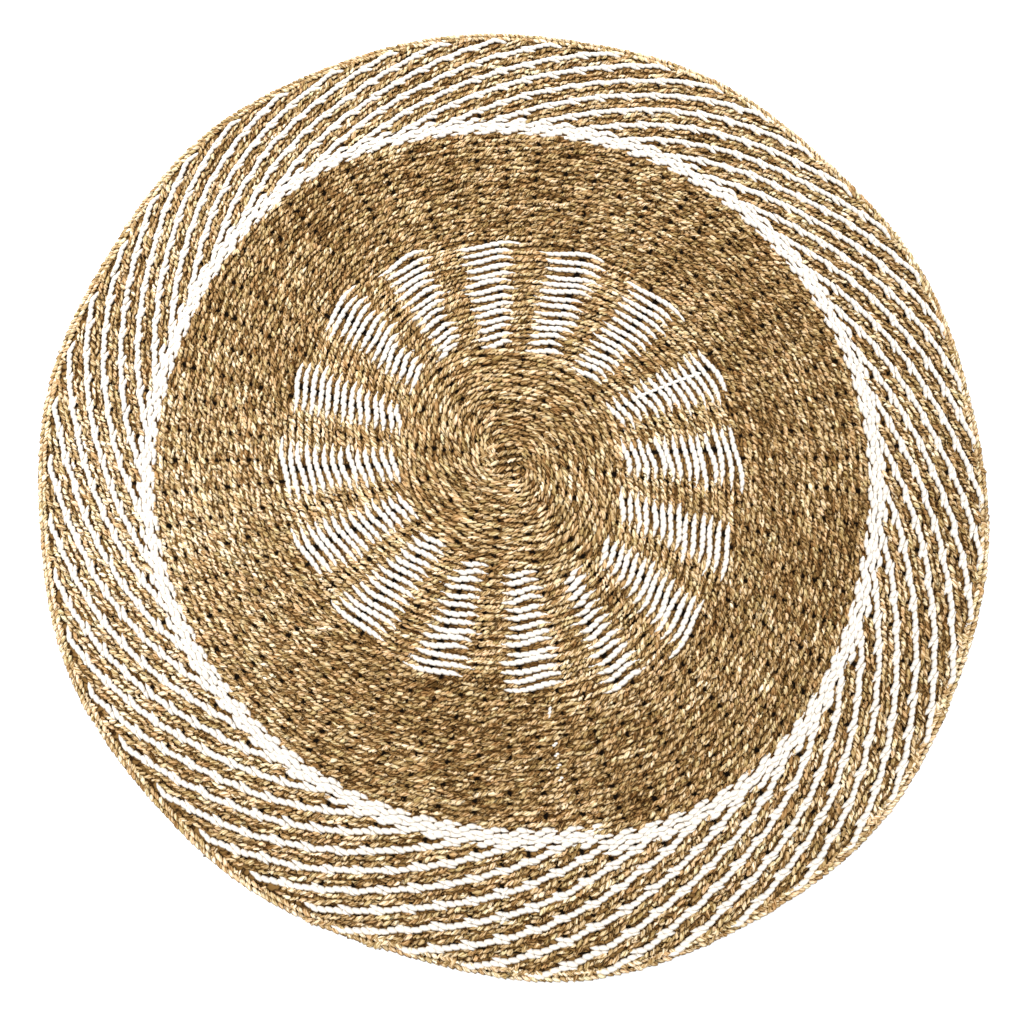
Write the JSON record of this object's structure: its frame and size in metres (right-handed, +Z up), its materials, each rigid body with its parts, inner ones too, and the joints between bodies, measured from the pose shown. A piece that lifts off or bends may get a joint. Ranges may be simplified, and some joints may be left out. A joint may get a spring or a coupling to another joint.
{
  "type": "round woven rug",
  "caption": "Flat round floor rug, twined from twisted grass cord in one spiral of raised rows, with a plaited edge.",
  "frame": {"origin": "middle of the rug's box on the floor, under the weave", "axes": "+Z up, out of the patterned face; +Y away from the viewer in the picture; +X to the right"},
  "size_m": [1.1784, 1.2042, 0.0098],
  "materials": {
    "seagrass_cord": "dry twisted grass cord, straw to brown, slightly glossy on the plies, rough between them",
    "white_cord": "bleached twisted cord, matt off-white"
  },
  "bodies": {
    "root": {"rug_weave": "seagrass_cord"}
  },
  "joints": []
}
